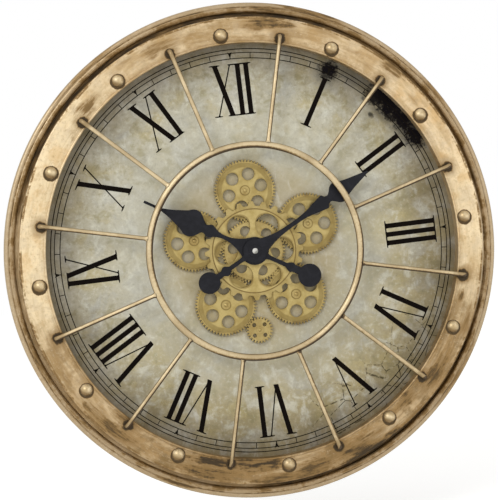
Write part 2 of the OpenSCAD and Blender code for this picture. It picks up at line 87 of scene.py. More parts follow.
def back(node):
    """Height off the wall of a node's back, in millimetres."""
    return -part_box(node)[1].y / MM


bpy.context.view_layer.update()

CASE_R = reach("outer_rim")
ROD_R = (front("centre_ring") - back("centre_ring")) / 2
RING_R = reach("centre_ring") - ROD_R
ROD_TOP = front("centre_ring")
DIAL_FRONT = front("dial_board")
HOURS = 12
HOLE_TURNS = (18, 35, 6, 59, 27)    # first hole of each satellite, degrees
SATELLITE_HOLES = (6, 20.4)         # number of holes in a satellite and their circle
COVER_HOLES = (6, 34.3)             # and in the cover wheel
SPOKE_TURN = 13.5                   # first rod, degrees clockwise from twelve
ROD_CIRCLE = 259.7                  # where the rods enter the flange
ROD_GLAZE_AND_SHADE_CIRCLE = 257.6            # the glaze and painted shade round each rod hole lie a little towards the dial
ROD_HOLE_R = 2.75
RIVET_TURN = -2.2                   # first rivet
RIVET_CIRCLE = 261.5
RIVET_FOOT_R = 7.6
SEAT_R, SEAT_FLOOR = 7.9, 60.65     # the shallow seat under each rivet
CROWN_TOP, CROWN_MIDDLE, CROWN_R = 61.0, 263.8, 200.0    # the flange's arched face


# ------------------------------------------------------------------ shader helpers

def rgb(code):
    """sRGB hex to the linear colour that a shader takes."""
    channels = [int(code[i:i + 2], 16) / 255 for i in (0, 2, 4)]
    return [c / 12.92 if c < 0.04045 else ((c + 0.055) / 1.055) ** 2.4 for c in channels] + [1]


def new_material(name):
    """A new material with one standard surface shader."""
    mat = bpy.data.materials.new(name)
    mat.use_nodes = True
    return mat


# a node's mode follows its kind after a colon; these are the ones used most
TIMES = "Math:MULTIPLY"
TIMES_PLUS = "Math:MULTIPLY_ADD"
EASE = "MapRange:SMOOTHSTEP"    # value, where it starts and ends, and the results there
BLEND = "Mix:RGBA"              # share, the colour at 0 and the colour at 1
MODES = {"Math": "operation", "VectorMath": "operation", "MapRange": "interpolation_type",
         "Mix": "data_type", "TexVoronoi": "feature"}


def feed(mat, socket, value):
    """Links another node's output to an input, or gives the input a value."""
    if isinstance(value, bpy.types.NodeSocket):
        mat.node_tree.links.new(value, socket)
    else:
        socket.default_value = value


def add(mat, kind, *values, out=0, **named):
    """Adds a shader node and returns one of its outputs, by number or by name.

    The values fill its open inputs in their order; named ones go to the inputs so named.
    A noise takes its point, its scale, its detail and its roughness; the scale is one over
    the size of its marks in millimetres.
    """
    kind, _, mode = kind.partition(":")
    node = mat.node_tree.nodes.new("ShaderNode" + kind)
    if mode:
        setattr(node, MODES[kind], mode)
    for socket, value in zip([s for s in node.inputs if s.enabled], values):
        feed(mat, socket, value)
    for key, value in named.items():
        feed(mat, node.inputs[key.replace("_", " ")], value)
    if isinstance(out, str):
        return node.outputs[out]
    return [s for s in node.outputs if s.enabled][out]


def surface(mat, **inputs):
    """Sets or links the inputs of the material's own shader."""
    shader = mat.node_tree.nodes["Principled BSDF"]
    for key, value in inputs.items():
        feed(mat, shader.inputs[key.replace("_", " ")], value)


def face_point(mat):
    """The shaded point, seen face-on, in millimetres: right, up and height off the wall."""
    return add(mat, "Mapping", add(mat, "TexCoord", out="Object"),
               Location=(0, -AXIS / MM, 0), Rotation=(-math.pi / 2, 0, 0), Scale=(1 / MM,) * 3)


def polar(mat, point, centre=(0, 0)):
    """Radius from centre, angle clockwise from twelve in degrees, and height."""
    local = add(mat, "VectorMath:SUBTRACT", point, (centre[0], centre[1], 0))
    xyz = add(mat, "SeparateXYZ", local).node.outputs
    radius = add(mat, "Math:SQRT",
                 add(mat, TIMES_PLUS, xyz[0], xyz[0], add(mat, TIMES, xyz[1], xyz[1])))
    turn = add(mat, "Math:ARCTAN2", xyz[0], xyz[1])
    return radius, add(mat, TIMES, turn, math.degrees(1)), xyz[2]


def round_streaks(mat, point, radius, length, width, detail=4.0):
    """Streaks along circles round the dial axis, length and width in millimetres."""
    xyz = add(mat, "SeparateXYZ", point).node.outputs
    turns = CASE_R / length
    wheel = add(mat, "CombineXYZ",
                add(mat, TIMES, add(mat, "Math:DIVIDE", xyz[0], radius), turns),
                add(mat, TIMES, add(mat, "Math:DIVIDE", xyz[1], radius), turns),
                add(mat, TIMES, radius, 1 / width))
    return add(mat, "TexNoise", wheel, 1.0, detail, 0.6)


def spots(mat, radius, angle, count, spot_r, first, low=0.0):
    """Distance in millimetres from the nearest of count points on a circle, or from low below."""
    pitch = 360 / count
    local = add(mat, "Math:WRAP", add(mat, "Math:SUBTRACT", angle, first), pitch / 2, -pitch / 2)
    along = add(mat, TIMES, local, math.radians(spot_r))
    inward = add(mat, "Math:SUBTRACT", radius, spot_r)
    if low:
        turn = add(mat, TIMES, angle, math.radians(1))
        along = add(mat, TIMES_PLUS, add(mat, "Math:SINE", turn), -low, along)
        inward = add(mat, TIMES_PLUS, add(mat, "Math:COSINE", turn), low, inward)
    return add(mat, "Math:SQRT",
               add(mat, TIMES_PLUS, along, along, add(mat, TIMES, inward, inward)))


def arcs(mat, angle, patches):
    """Strength from 0 to 1 over arcs of the dial: middle, half width and strength of each."""
    total = 0.0
    for middle, half, strength in patches:
        off = add(mat, "Math:ABSOLUTE",
                  add(mat, "Math:WRAP", add(mat, "Math:SUBTRACT", angle, middle), 180.0, -180.0))
        total = add(mat, "Math:MAXIMUM", total,
                    add(mat, EASE, off, half * 1.25 + 3, half * 0.75, 0, strength))
    return total


def smudges(mat, radius, angle, ragged, core, marks):
    """Ragged oval marks: angle, radius, half length round, half width and strength of each."""
    total = 0.0
    for turn, at_r, length, width, strength in marks:
        off = add(mat, "Math:WRAP", add(mat, "Math:SUBTRACT", angle, turn), 180.0, -180.0)
        along = add(mat, TIMES, off, math.radians(at_r) / length)
        across = add(mat, TIMES, add(mat, "Math:SUBTRACT", radius, at_r), 1 / width)
        away = add(mat, "Math:SQRT",
                   add(mat, TIMES_PLUS, along, along, add(mat, TIMES, across, across)))
        mark = add(mat, EASE, add(mat, "Math:ADD", away, ragged), 1.7, core, 0, strength)
        total = add(mat, "Math:MAXIMUM", total, mark)
    return total


def band(mat, value, low, high, soft):
    """1 between low and high, fading out over soft on both sides."""
    return add(mat, TIMES, add(mat, EASE, value, low - soft, low),
               add(mat, EASE, value, high + soft, high))


def strongest(mat, *masks):
    """The highest of several masks at each place."""
    total = 0.0
    for mask in masks:
        total = add(mat, "Math:MAXIMUM", total, mask)
    return total


def facing(mat):
    """1 where a surface faces away from the wall, 0 on its flanks."""
    normal = add(mat, "NewGeometry", out="Normal")
    return add(mat, TIMES, add(mat, "SeparateXYZ", normal, out=1), -1.0)


def leaning(mat, turn):
    """How far a surface leans towards a direction of the dial, in degrees from twelve."""
    towards = (math.sin(math.radians(turn)), 0, math.cos(math.radians(turn)))
    return add(mat, "VectorMath:DOT_PRODUCT", add(mat, "NewGeometry", out="Normal"), towards)


def radial_lean(mat, point, radius):
    """How far a surface leans away from the dial's axis."""
    xyz = add(mat, "SeparateXYZ", add(mat, "NewGeometry", out="Normal")).node.outputs
    flat_normal = add(mat, "CombineXYZ", xyz[0], xyz[2])
    along = add(mat, "VectorMath:DOT_PRODUCT", flat_normal, point)
    return add(mat, "Math:DIVIDE", along, radius)


def seen_directly(mat):
    """1 for the camera, and for what shows in gloss and through glass."""
    path = add(mat, "LightPath").node.outputs
    return strongest(mat, path["Is Camera Ray"], path["Is Glossy Ray"],
                     path["Is Transmission Ray"])


# ------------------------------------------------------------------ materials

# where the dark glaze was left on the rim: angle, radius, half length, half width, strength
RIM_SMUDGES = ((9.6, 276, 24, 7, 0.9), (6.5, 269, 13, 6, 0.55), (45, 278, 22, 7, 0.6),
               (38.7, 262.6, 8, 5, 0.4), (54, 268, 18, 7, 0.3), (24, 279, 20, 4, 0.35),
               (109.5, 260, 9, 4.5, 0.8), (115, 275, 26, 7, 0.5), (131, 269, 28, 8, 0.75),
               (140.4, 260, 17, 6, 0.95), (156, 281, 48, 6, 0.95), (159, 270, 30, 9, 0.8),
               (171, 273, 26, 10, 0.75), (187, 258, 34, 8, 1.0), (180, 277, 34, 6, 0.75),
               (198.6, 273, 38, 7, 0.9), (199, 259.5, 28, 7, 0.95), (226.8, 273, 38, 7, 0.75),
               (225, 255, 18, 6, 0.7), (318, 265.6, 18, 7, 0.6), (313.8, 256.5, 24, 5, 0.45),
               (341.4, 270, 24, 8, 0.5), (333, 276, 20, 4, 0.3), (22, 297, 46, 7, 0.7),
               (11, 293, 22, 4, 0.8), (205, 295, 24, 2.5, 0.75), (250, 291, 20, 4, 0.7),
               (325, 297, 66, 4, 0.45), (128, 296, 42, 4, 0.5), (56, 296, 30, 4, 0.5))
# middle and half width in degrees, and strength
# FLANGE_BROWN is brown stain, and painted shade in its broad arc at the bottom; FLANGE_PALE is
# paler paint, and painted highlight at the left and right; GROOVE_DARK is painted shade in the
# groove, with some glaze; GROOVE_PALE is painted highlight in the groove
FLANGE_BROWN = ((168, 60, 1.0), (236, 20, 0.6), (28, 14, 0.3), (338, 20, 0.2), (2, 18, 0.42))
FLANGE_PALE = ((288, 34, 0.8), (96, 20, 0.6))
GROOVE_DARK = ((341, 54, 1.0), (56, 28, 0.7), (150, 36, 0.95), (206, 24, 0.4), (262, 30, 0.45))
GROOVE_PALE = ((94, 17, 0.9), (300, 16, 0.3))


def rubbed_gold(mat, point, radius, angle, streak, fine, blot, grit):
    """Colour of the rim's gold paint: streaked, paler and browner in places, dull bead; the pale
    arcs carry painted highlight and the broad brown arc painted shade.
    """
    smear = round_streaks(mat, point, radius, 58, 12, 3)
    mottle = add(mat, "TexNoise", point, 1 / 9.09, 4, 0.6)
    on_bead = add(mat, EASE, radius, 286.0, 290.0)
    off_bead = add(mat, EASE, radius, 286.0, 282.0)
    # pale arcs: painted highlight, with paler paint; brown arcs: brown stains, and painted shade
    # at the bottom
    pale = add(mat, TIMES, arcs(mat, angle, FLANGE_PALE),
               add(mat, EASE, streak, 0.35, 0.6, 0.5, 1.0))
    brown = add(mat, TIMES, arcs(mat, angle, FLANGE_BROWN), off_bead)
    colour = add(mat, BLEND, add(mat, EASE, smear, 0.38, 0.62), rgb("C2A67A"), rgb("DEC69E"))
    for share, code in (
            (pale, "F0DCB4"),
            (add(mat, EASE, streak, 0.48, 0.72, 0, 0.3), "B0926A"),
            (add(mat, EASE, mottle, 0.5, 0.7, 0, 0.35), "AC8F66"),
            (add(mat, EASE, blot, 0.5, 0.66, 0, 0.35), "CB9F5C"),
            (add(mat, EASE, blot, 0.5, 0.34, 0, 0.35), "C2B196"),
            (add(mat, TIMES, brown, add(mat, EASE, smear, 0.75, 0.3, 0.4, 0.95)), "967646"),
            (add(mat, TIMES, brown, add(mat, EASE, streak, 0.47, 0.62, 0, 0.35)), "66502C"),
            (add(mat, TIMES, brown, add(mat, EASE, blot, 0.46, 0.62, 0, 0.6)), "6C552F"),
            (add(mat, TIMES, on_bead, 0.8), "A48F70"),
            (add(mat, EASE, fine, 0.55, 0.75, 0, 0.18), "EBDCBE"),
            (add(mat, EASE, grit, 0.52, 0.72, 0, 0.4), "94784E"),
            (add(mat, EASE, grit, 0.46, 0.28, 0, 0.22), "F2E4C8")):
        colour = add(mat, BLEND, share, colour, rgb(code))
    return colour, mottle, off_bead


def umber_glaze_and_shade(mat, radius, angle, in_groove, off_bead, streak, fine, ragged):
    """Where the dark glaze stayed, with painted shade: smudges, groove, creases, rivet seats and
    rod holes.
    """
    stain = smudges(mat, radius, angle, ragged, 0.1, RIM_SMUDGES)
    stain = add(mat, TIMES, stain, add(mat, EASE, streak, 0.66, 0.4, 0.6, 1.1))
    # the groove is darkened as painted shade, with some glaze, most over the arcs of GROOVE_DARK
    level = arcs(mat, angle, GROOVE_DARK)
    groove = add(mat, TIMES, in_groove,
                 add(mat, TIMES, level, add(mat, EASE, streak, 0.75, 0.35, 0.62, 1.0)))
    # the crease between the beads, the inner roll and the flange's outer edge by the groove:
    # glaze, and painted shade
    crease = add(mat, TIMES, band(mat, radius, 293.4, 294.3, 0.8),
                 add(mat, EASE, ragged, -0.2, 0.3, 0.3, 0.8))
    inner_roll = add(mat, TIMES, band(mat, radius, 287.5, 292.0, 1.4),
                     add(mat, EASE, ragged, -0.2, 0.3, 0.25, 0.6))
    rim_edge = add(mat, TIMES, band(mat, radius, 279.4, 282.4, 1.0),
                   add(mat, EASE, ragged, -0.2, 0.3, 0.1, 0.6))
    inner_edge = add(mat, TIMES, off_bead,
                     add(mat, EASE, add(mat, TIMES_PLUS, ragged, -4.0, radius), 262, 252, 0, 0.2))
    wiped = strongest(mat, stain, groove, crease, inner_roll, rim_edge, inner_edge)
    wiped = add(mat, TIMES, wiped, add(mat, EASE, fine, 0.7, 0.45, 0.75, 1.0))
    # a dark ring round each rivet seat: glaze, and painted shade at the rivet's foot
    from_rivet = add(mat, TIMES_PLUS, ragged, -1.2,
                     spots(mat, radius, angle, HOURS, RIVET_CIRCLE, RIVET_TURN, 1.0))
    seats = add(mat, EASE, from_rivet, 10.0, 8.7, 0, 0.85)
    # painted shade of the holes the rods go into, with glaze round them
    from_rod = add(mat, TIMES_PLUS, ragged, -3.0,
                   spots(mat, radius, angle, HOURS, ROD_GLAZE_AND_SHADE_CIRCLE, SPOKE_TURN, 0.8))
    holes = strongest(mat, add(mat, EASE, from_rod, 9.0, 5.0, 0, 1.0),
                      add(mat, EASE, from_rod, 20, 6, 0, 0.35))
    return strongest(mat, wiped, seats, holes)


def antique_gold():
    """Formed steel in antique gold paint: brushed round, wiped with dark umber glaze.

    To the eye: a soft sheen that breaks into streaks, and matt brown where the glaze stayed.
    Painted shade darkens the groove, creases, rivet seats and rod holes; painted highlight
    lightens parts of the groove and flange.
    """
    mat = new_material("antique_gold_paint")
    point = face_point(mat)
    radius, angle, height = polar(mat, point)
    streak = round_streaks(mat, point, radius, 30, 4.2, 3)
    # brush lines are finer than 0.8 mm and grit than 3.6 mm, but would not show
    fine = round_streaks(mat, point, radius, 11, 0.8)
    grit = add(mat, "TexNoise", point, 1 / 3.571, 5, 0.65)
    blot = add(mat, "TexNoise", point, 1 / 22.22, 4, 0.6)
    colour, mottle, off_bead = rubbed_gold(mat, point, radius, angle, streak, fine, blot, grit)
    in_groove = add(mat, TIMES, band(mat, radius, 283.6, 288.2, 3.6),
                    add(mat, EASE, height, 52.5, 46.5))
    # painted highlight in the groove, over the arcs of GROOVE_PALE
    bare = add(mat, TIMES, arcs(mat, angle, GROOVE_PALE), in_groove)
    colour = add(mat, BLEND, bare, colour, rgb("FBEBC8"))
    ragged = add(mat, TIMES_PLUS, streak, 1.5,
                 add(mat, TIMES_PLUS, blot, 2.2, add(mat, TIMES_PLUS, grit, 1.0, -2.35)))
    glaze = umber_glaze_and_shade(mat, radius, angle, in_groove, off_bead, streak, fine, ragged)
    # glaze and painted shade darken the paint alike
    colour = add(mat, BLEND, add(mat, EASE, glaze, 0.0, 0.6), colour, rgb("86683A"))
    colour = add(mat, BLEND, add(mat, EASE, glaze, 0.4, 1.0), colour, rgb("38290F"))
    surface(mat, Base_Color=colour, Metallic=add(mat, EASE, glaze, 0, 1, 0.5, 0.35),
            Roughness=add(mat, EASE, add(mat, TIMES_PLUS, fine, 0.3, glaze), 0, 1.2, 0.38, 0.62),
            Normal=add(mat, "Bump", Height=add(mat, TIMES_PLUS, mottle, 1.5, fine),
                       Distance=0.14 * MM, Strength=0.45))
    return mat


def rivet_gold():
    """The same paint on the rivets' domes: painted shade on the lower side, glaze and painted
    shade round the foot.
    """
    mat = new_material("rivet_gold_paint")
    point = face_point(mat)
    radius, angle, _ = polar(mat, point)
    off = spots(mat, radius, angle, HOURS, RIVET_CIRCLE, RIVET_TURN)
    patch = add(mat, "TexNoise", point, 1 / 6.25, 4, 0.6)
    colour = add(mat, BLEND, add(mat, EASE, patch, 0.35, 0.65), rgb("B69E74"), rgb("D6C29C"))
    # painted shade on the side facing down and a little to the left
    shaded_low_side = add(mat, TIMES_PLUS, patch, 0.5, leaning(mat, 205))
    colour = add(mat, BLEND, add(mat, EASE, shaded_low_side, 0.2, 0.78, 0, 0.85), colour, rgb("7C6138"))
    # dark ring round the foot: glaze, and painted shade, strongest on the lower side
    foot = add(mat, EASE, add(mat, TIMES_PLUS, patch, -3.0, off), 4.6, 6.2)
    foot = add(mat, TIMES, foot, add(mat, EASE, shaded_low_side, -0.5, 0.5, 0.3, 1.0))
    colour = add(mat, BLEND, foot, colour, rgb("503A1A"))
    surface(mat, Base_Color=colour, Metallic=add(mat, EASE, foot, 0, 1, 0.5, 0.1),
            Roughness=add(mat, EASE, patch, 0.3, 0.7, 0.34, 0.5),
            Normal=add(mat, "Bump", Height=patch, Distance=0.2 * MM, Strength=0.3))
    return mat


def cage_gold():
    """Rose-gold paint on the bent rods and the ring: a painted highlight in front, painted shade
    on the flanks.
    """
    mat = new_material("cage_rose_gold_paint")
    point = face_point(mat)
    radius = polar(mat, point)[0]
    patch = add(mat, "TexNoise", point, 1 / 28.57, 4, 0.55)
    # real rubbing marks are finer than 2.9 mm, but would not show on a 5 mm rod
    grain = add(mat, "TexNoise", point, 1 / 2.857, 5, 0.65)
    # the rods' bent ends face outwards: there the painted highlight of the front goes on
    outward = add(mat, TIMES, radial_lean(mat, point, radius), add(mat, EASE, radius, 200, 245))
    highlit_front = add(mat, TIMES_PLUS, grain, 0.35,
                     add(mat, "Math:ADD", facing(mat), add(mat, "Math:MAXIMUM", outward, 0.0)))
    # painted shade on the side facing down and to the right
    shaded_low_side = add(mat, TIMES_PLUS, grain, 0.35, leaning(mat, 143))
    colour = add(mat, BLEND, add(mat, EASE, patch, 0.35, 0.65), rgb("B6A17B"), rgb("D1BD96"))
    colour = add(mat, BLEND, add(mat, EASE, grain, 0.5, 0.75, 0, 0.4), colour, rgb("9C845A"))
    # painted shade on the flanks, on the lower side, and on the rods where they bend down into the
    # flange
    painted_shade_flank = strongest(mat, add(mat, EASE, shaded_low_side, 0.2, 0.68),
                      add(mat, EASE, highlit_front, 0.8, 0.35),
                      add(mat, EASE, add(mat, TIMES_PLUS, grain, 8.0, radius), 246, 256, 0, 0.35))
    colour = add(mat, BLEND, add(mat, EASE, painted_shade_flank, 0.0, 0.55), colour, rgb("8A7046"))
    colour = add(mat, BLEND, add(mat, EASE, painted_shade_flank, 0.4, 1.0, 0, 0.95), colour, rgb("3C2A12"))
    surface(mat, Base_Color=colour, Metallic=add(mat, EASE, painted_shade_flank, 0, 1, 0.45, 0.1),
            Roughness=add(mat, EASE, grain, 0.3, 0.7, 0.36, 0.5),
            Normal=add(mat, "Bump", Height=grain, Distance=0.06 * MM, Strength=0.4))
    return mat


def drum_bronze():
    """Bronze-brown paint, sprayed inside and out on the sheet drum: dull and plain."""
    mat = new_material("drum_bronze_paint")
    point = face_point(mat)
    patch = add(mat, "TexNoise", point, 1 / 50, 4, 0.55)
    # the orange peel of sprayed paint, 1.4 mm wide
    peel = add(mat, "TexNoise", point, 1 / 1.429, 2, 0.55)
    colour = add(mat, BLEND, add(mat, EASE, patch, 0.3, 0.7), rgb("6E5636"), rgb("8A6E48"))
    surface(mat, Base_Color=colour, Metallic=0.35,
            Roughness=add(mat, EASE, patch, 0, 1, 0.42, 0.56),
            Normal=add(mat, "Bump", Height=peel, Distance=0.08 * MM, Strength=0.35))
    return mat


# soot on the dial: angle, radius, half length, half width, strength
SOOT = ((30.1, 238, 11, 10, 1.0), (29.6, 229.5, 6, 3.5, 0.9), (30, 234, 13, 15, 0.45),
        (45.5, 238, 12, 8, 0.97), (47.5, 246, 20, 11, 1.0), (51, 243, 17, 13, 1.0),
        (55, 245, 20, 12, 1.0), (52.6, 235, 10, 6, 0.95), (59, 245, 20, 11, 0.85),
        (62, 243.5, 13, 10, 1.0), (57, 237, 18, 9, 0.6), (61, 236, 9, 6, 0.6),
        (48.1, 219.7, 3.2, 2.6, 0.8), (51, 229, 16, 5, 0.4), (38, 244, 30, 8, 0.4))


def plaster_tones(mat, point, radius, cloud, patch, blotch, grain):
    """Colour of the bare plaster: clouds, patches and specks, paler where it was wiped."""
    xyz = add(mat, "SeparateXYZ", point).node.outputs
    low_right = add(mat, TIMES_PLUS, xyz[0], 0.0012, add(mat, TIMES, xyz[1], -0.0024))
    warmth = add(mat, EASE, add(mat, TIMES_PLUS, cloud, 1.1, low_right), 0.25, 1.0)
    tone = add(mat, "TexNoise", point, 1 / 35.71, 5, 0.6, Distortion=0.4)
    # rubbed marks 9 mm by 33 mm, aslant
    wiped = add(mat, "Mapping", point, Rotation=(0, 0, 0.5), Scale=(0.11, 0.03, 0.1))
    scuff = add(mat, TIMES, add(mat, EASE, add(mat, "TexNoise", wiped, 1.0, 5, 0.65), 0.54, 0.7),
                add(mat, EASE, patch, 0.62, 0.42, 0, 0.45))
    colour = add(mat, BLEND, warmth, rgb("B9B39E"), rgb("A99C79"))
    for share, code in (
            (add(mat, EASE, tone, 0.5, 0.66, 0, 0.5), "B3A26C"),
            (add(mat, EASE, tone, 0.5, 0.34, 0, 0.5), "ADADA8"),
            (add(mat, EASE, patch, 0.52, 0.7, 0, 0.68), "948B66"),
            (add(mat, EASE, patch, 0.48, 0.3, 0, 0.62), "D6D4C4"),
            (add(mat, EASE, blotch, 0.52, 0.72, 0, 0.38), "8A836A"),
            (add(mat, EASE, blotch, 0.48, 0.3, 0, 0.38), "D6D3C2"),
            (add(mat, EASE, grain, 0.5, 0.75, 0, 0.35), "7E7766"),
            (add(mat, EASE, radius, 205, 140, 0, 0.3), "E4E2D0"),
            (add(mat, EASE, radius, 122, 88, 0, 0.5), "A08C5E"),
            (scuff, "DCDACE")):
        colour = add(mat, BLEND, share, colour, rgb(code))
    return colour


def plaster(mat, point):
    """Colour and relief of the aged dial face: greenish grey plaster, darker towards the rim."""
    radius, angle, _ = polar(mat, point)
    cloud = add(mat, "TexNoise", point, 1 / 62.5, 4, 0.6, Distortion=0.6)
    patch = add(mat, "TexNoise", point, 1 / 18.18, 4, 0.6, Distortion=0.5)
    blotch = add(mat, "TexNoise", point, 1 / 5, 4, 0.62)
    # sand in the plaster is finer than 1.7 mm, but would not show
    grain = add(mat, "TexNoise", point, 1 / 1.667, 4, 0.65)
    colour = plaster_tones(mat, point, radius, cloud, patch, blotch, grain)
    # darker towards the rim
    edge = add(mat, TIMES_PLUS, cloud, 26.0, add(mat, TIMES_PLUS, blotch, 12.0, radius))
    colour = add(mat, BLEND, add(mat, EASE, edge, 208, 266, 0, 0.66), colour, rgb("5A4F3E"))
    ragged = add(mat, TIMES_PLUS, blotch, 2.0,
                 add(mat, TIMES_PLUS, grain, 1.2, add(mat, TIMES_PLUS, patch, 1.2, -2.2)))
    soot = smudges(mat, radius, angle, ragged, 0.6, SOOT)
    soot = add(mat, TIMES, soot, add(mat, EASE, grain, 0.6, 0.75, 1.0, 0.7))
    colour = add(mat, BLEND, soot, colour, rgb("0A070A"))
    # age cracks 28 mm apart at the lower right; hairlines would not show, so they are drawn wide
    crack = add(mat, "TexVoronoi:DISTANCE_TO_EDGE", point, 1 / 27.78)
    line = add(mat, EASE, crack, 0.024, 0.008)
    where = add(mat, TIMES, add(mat, EASE, radius, 180, 206), band(mat, angle, 122, 164, 8))
    where = add(mat, TIMES, where, add(mat, EASE, blotch, 0.44, 0.54))
    colour = add(mat, BLEND, add(mat, TIMES, line, add(mat, TIMES, where, 0.85)), colour,
                 rgb("3C3526"))
    relief = add(mat, TIMES_PLUS, grain, 0.3,
                 add(mat, TIMES_PLUS, blotch, 0.8, add(mat, TIMES, line, -0.25)))
    return colour, relief, grain


def dial_plaster():
    """Chalky skim of aged plaster on the front of the board, raw brown hardboard behind."""
    mat = new_material("dial_aged_plaster")
    point = face_point(mat)
    colour, relief, grain = plaster(mat, point)
    fibre = add(mat, "TexNoise", point, 1 / 0.909, 5, 0.7, Distortion=1.2)
    board = add(mat, BLEND, add(mat, EASE, fibre, 0.35, 0.7), rgb("6B4C31"), rgb("8E6B49"))
    height = polar(mat, point)[2]
    skim = add(mat, EASE, height, DIAL_FRONT - 0.6, DIAL_FRONT - 0.3)
    surface(mat, Base_Color=add(mat, BLEND, skim, board, colour),
            Roughness=add(mat, EASE, grain, 0.2, 0.8, 0.62, 0.85), Specular_IOR_Level=0.06,
            Normal=add(mat, "Bump", Height=relief, Distance=0.25 * MM, Strength=0.7))
    return mat


def dial_ink(name, wear, code):
    """Printed ink that has rubbed off the plaster in places."""
    mat = new_material(name)
    point = face_point(mat)
    colour, relief, _ = plaster(mat, point)
    scuff = add(mat, "TexNoise", point, 1 / 4.545, 6, 0.7)
    patch = add(mat, "TexNoise", point, 1 / 50, 3, 0.55)
    gone = add(mat, TIMES_PLUS, patch, 0.45, scuff)
    rubbed = add(mat, EASE, gone, wear, wear + 0.07, 0, 0.85)
    surface(mat, Base_Color=add(mat, BLEND, rubbed, rgb(code), colour),
            Roughness=add(mat, EASE, scuff, 0.3, 0.7, 0.55, 0.75), Specular_IOR_Level=0.04,
            Normal=add(mat, "Bump", Height=relief, Distance=0.25 * MM, Strength=0.6))
    return mat


def turned_metal(name, light, dark, metallic, roughness, tarnish=0.5):
    """Stamped or turned sheet metal: cloudy tarnish, fine grit and a soft satin shine."""
    mat = new_material(name)
    point = face_point(mat)
    cloud = add(mat, "TexNoise", point, 1 / 14.29, 4, 0.6)
    # grit 0.6 mm wide: from afar it softens the shine, close up it shows
    grit = add(mat, "TexNoise", point, 1 / 0.625, 4, 0.6)
    colour = add(mat, BLEND, add(mat, EASE, cloud, 0.35, 0.68), rgb(light), rgb(dark))
    colour = add(mat, BLEND, add(mat, EASE, grit, 0.5, 0.8, 0, tarnish), colour, rgb(dark))
    surface(mat, Base_Color=colour, Metallic=metallic,
            Roughness=add(mat, EASE, grit, 0.3, 0.7, roughness - 0.06, roughness + 0.08),
            Normal=add(mat, "Bump", Height=grit, Distance=0.04 * MM, Strength=0.35))
    return mat


def wash(mat, mask, code):
    """Darkens a metal's colour where mask is 1, as a glaze left in its corners and as painted
    shade.
    """
    base = mat.node_tree.nodes["Principled BSDF"].inputs["Base Color"]
    surface(mat, Base_Color=add(mat, BLEND, mask, base.links[0].from_socket, rgb(code)))


def gear_gold(name, centre, hole_turn):
    """Gold wash on a satellite's stamped disc, with glaze and painted shade round its cap, holes
    and step.
    """
    mat = turned_metal(name, "B7A368", "9E884D", 0.5, 0.42)
    radius, angle, _ = polar(mat, face_point(mat), centre)
    holes = spots(mat, radius, angle, *SATELLITE_HOLES, hole_turn)
    # glaze and painted shade round the holes, the cap and the step
    mask = strongest(mat, add(mat, EASE, holes, 9.3, 7.7, 0, 0.7),
                     band(mat, radius, 5.3, 6.0, 0.8),
                     add(mat, EASE, radius, 27.3, 28.6, 0, 0.75),
                     band(mat, radius, 2.4, 3.0, 0.5))
    wash(mat, add(mat, TIMES, mask, 0.75), "75602C")
    return mat


def part_gold(name):
    """Gold wash on the small parts of the train."""
    return turned_metal(name, "B19D65", "98814A", 0.55, 0.4)


def tooth_olive():
    """The same wash over the toothed rims, darkened olive, with painted shade on the teeth's
    flanks.
    """
    mat = turned_metal("tooth_olive_wash", "B09A5E", "7F6A3A", 0.5, 0.48)
    # painted shade where the rim turns away from the front
    wash(mat, add(mat, EASE, facing(mat), 0.7, 0.3, 0, 0.4), "4A3A1A")
    return mat


def cover_gold():
    """Gold wash of the cover wheel, with glaze and painted shade in its step and round its holes,
    and painted shade on its flanks.
    """
    mat = turned_metal("cover_gold_wash", "BBA76D", "A48E52", 0.5, 0.4)
    radius, angle, _ = polar(mat, face_point(mat))
    holes = spots(mat, radius, angle, *COVER_HOLES, 33.3)
    # glaze and painted shade in the step and round the holes, painted shade on the flanks
    mask = strongest(mat, band(mat, radius, 50.2, 51.2, 0.6),
                     add(mat, EASE, holes, 15.6, 14.1, 0, 0.7),
                     add(mat, EASE, radius, 51.0, 52.0, 0, 0.3),
                     add(mat, EASE, facing(mat), 0.7, 0.3, 0, 0.6))
    wash(mat, add(mat, TIMES, mask, 0.8), "6B5424")
    return mat


def works_brass():
    """Bare brass of the bush, nut, sleeve and arbor: warm and fairly bright."""
    return turned_metal("works_brass", "D2B56C", "A98B45", 0.9, 0.3, 0.3)


def zinc_steel():
    """Bright zinc plate on clips, screws, nuts and the hanger."""
    return turned_metal("zinc_plated_steel", "C4C6C4", "9A9C98", 0.85, 0.36, 0.4)


def hand_black():
    """Blue-black lacquer on the stamped hands, a little dusty."""
    mat = new_material("hand_blue_black_lacquer")
    point = face_point(mat)
    dust = add(mat, "TexNoise", point, 1 / 8.333, 5, 0.65)
    # specks 0.7 mm wide under the lacquer: they show close up
    grit = add(mat, "TexNoise", point, 1 / 0.7143, 3, 0.55)
    colour = add(mat, BLEND, add(mat, EASE, dust, 0.4, 0.72), rgb("0E0E14"), rgb("1B1B21"))
    surface(mat, Base_Color=colour, Roughness=add(mat, EASE, grit, 0.3, 0.7, 0.42, 0.58),
            Specular_IOR_Level=0.2,
            Normal=add(mat, "Bump", Height=grit, Distance=0.03 * MM, Strength=0.3))
    return mat


def cap_pearl():
    """Off-white enamel of the hands' cap: smooth and glossy, with painted shade greying its lower
    side.
    """
    mat = new_material("cap_pearl_enamel")
    grain = add(mat, "TexNoise", face_point(mat), 1 / 1.25, 3, 0.55)
    colour = add(mat, BLEND, grain, rgb("C2C0B8"), rgb("D4D2CC"))
    # painted shade on the side facing down and to the right
    colour = add(mat, BLEND, add(mat, EASE, leaning(mat, 140), -0.02, 0.25), colour,
                 rgb("8E8D86"))
    surface(mat, Base_Color=colour, Roughness=0.25,
            Normal=add(mat, "Bump", Height=grain, Distance=0.01 * MM, Strength=0.2))
    return mat


